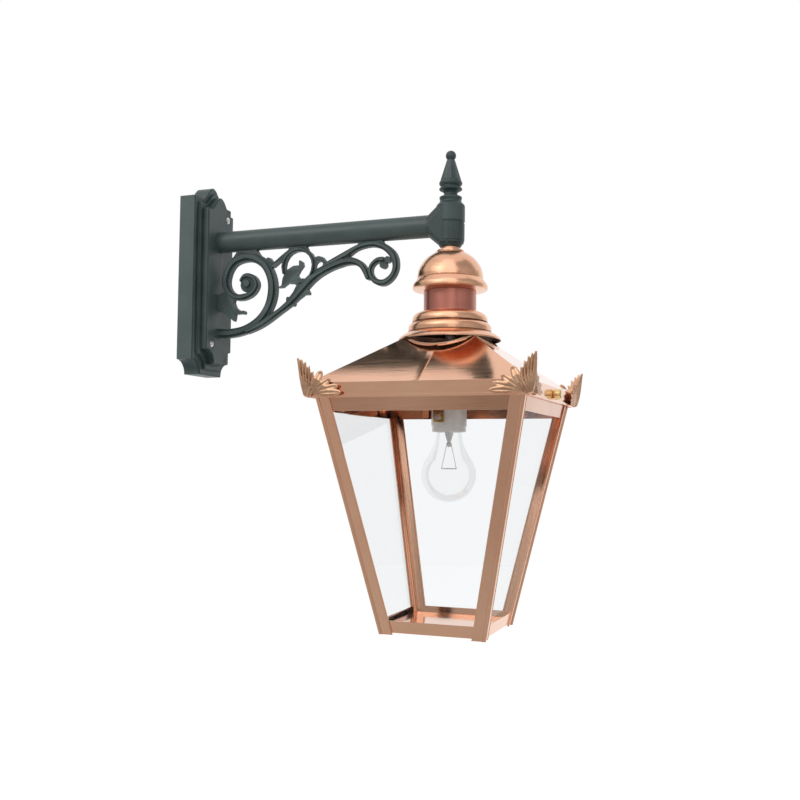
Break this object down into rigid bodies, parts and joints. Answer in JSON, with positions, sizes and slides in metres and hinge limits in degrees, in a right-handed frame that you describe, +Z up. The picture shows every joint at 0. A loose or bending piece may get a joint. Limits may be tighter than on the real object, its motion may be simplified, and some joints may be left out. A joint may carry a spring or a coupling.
{
  "type": "outdoor wall light",
  "caption": "Square tapered copper lantern with chimney, corner leaves and clear panes, hung from a scroll bracket on a stepped wall plate.",
  "frame": {"origin": "centre of the wall plate's back face, where it meets the wall", "axes": "+X away from the wall along the arm, +Z up, +Y to the left for someone who looks along the arm away from the wall"},
  "size_m": [0.4497, 0.2514, 0.5276],
  "materials": {
    "bracket_paint": "satin dark green-black paint",
    "copper": "polished copper sheet under lacquer",
    "brass": "polished brass",
    "steel": "zinc plated",
    "ceramic": "glazed ceramic",
    "pane_glass": "clear",
    "lamp_glass": "clear",
    "cap_metal": "bright"
  },
  "bodies": {
    "bracket": {"wall_plate": "bracket_paint", "mounting_strap": "steel", "plate_screws": "steel", "terminal_block": "ceramic", "terminal_screws": "brass", "arm_tube": "bracket_paint", "scroll_casting": "bracket_paint", "arm_fitting": "bracket_paint", "finial": "bracket_paint", "hanger_tube": "steel", "hanger_nuts": "steel", "neck_collar": "copper", "chimney_dome": "copper", "chimney_drum": "copper", "chimney_skirt": "copper", "roof": "copper", "roof_crossbar": "steel", "leaf_wall_near": "copper", "leaf_wall_far": "copper", "leaf_front_near": "copper", "leaf_front_far": "copper", "lamp_bracket": "brass", "bracket_screws": "steel", "lampholder": "ceramic", "lampholder_shell": "brass", "lamp_glass": "lamp_glass", "lamp_cap": "cap_metal", "lamp_filament": "lamp_glass", "hinge_roof_leaf": "brass", "hinge_pin": "steel", "catch_bracket": "brass"},
    "glazed_body": {"top_frame": "copper", "post_wall_near": "copper", "post_wall_far": "copper", "post_front_near": "copper", "post_front_far": "copper", "base_tray": "copper", "glass_wall": "pane_glass", "glass_front": "pane_glass", "glass_near": "pane_glass", "glass_far": "pane_glass", "glazing_clips": "copper", "hinge_body_leaf": "brass"},
    "thumb_screw": {"catch_knob": "brass"}
  },
  "joints": [
    {"name": "body_swing", "type": "hinge", "parent": "bracket", "child": "glazed_body", "pos_m": [0.2103, 0, -0.15402], "axis": [0, 1, 0], "range_deg": [0, 48]},
    {"name": "knob_turn", "type": "hinge", "parent": "bracket", "child": "thumb_screw", "pos_m": [0.4393, 0, -0.14342], "axis": [1, 0, 0], "range_deg": [0, 540]}
  ]
}
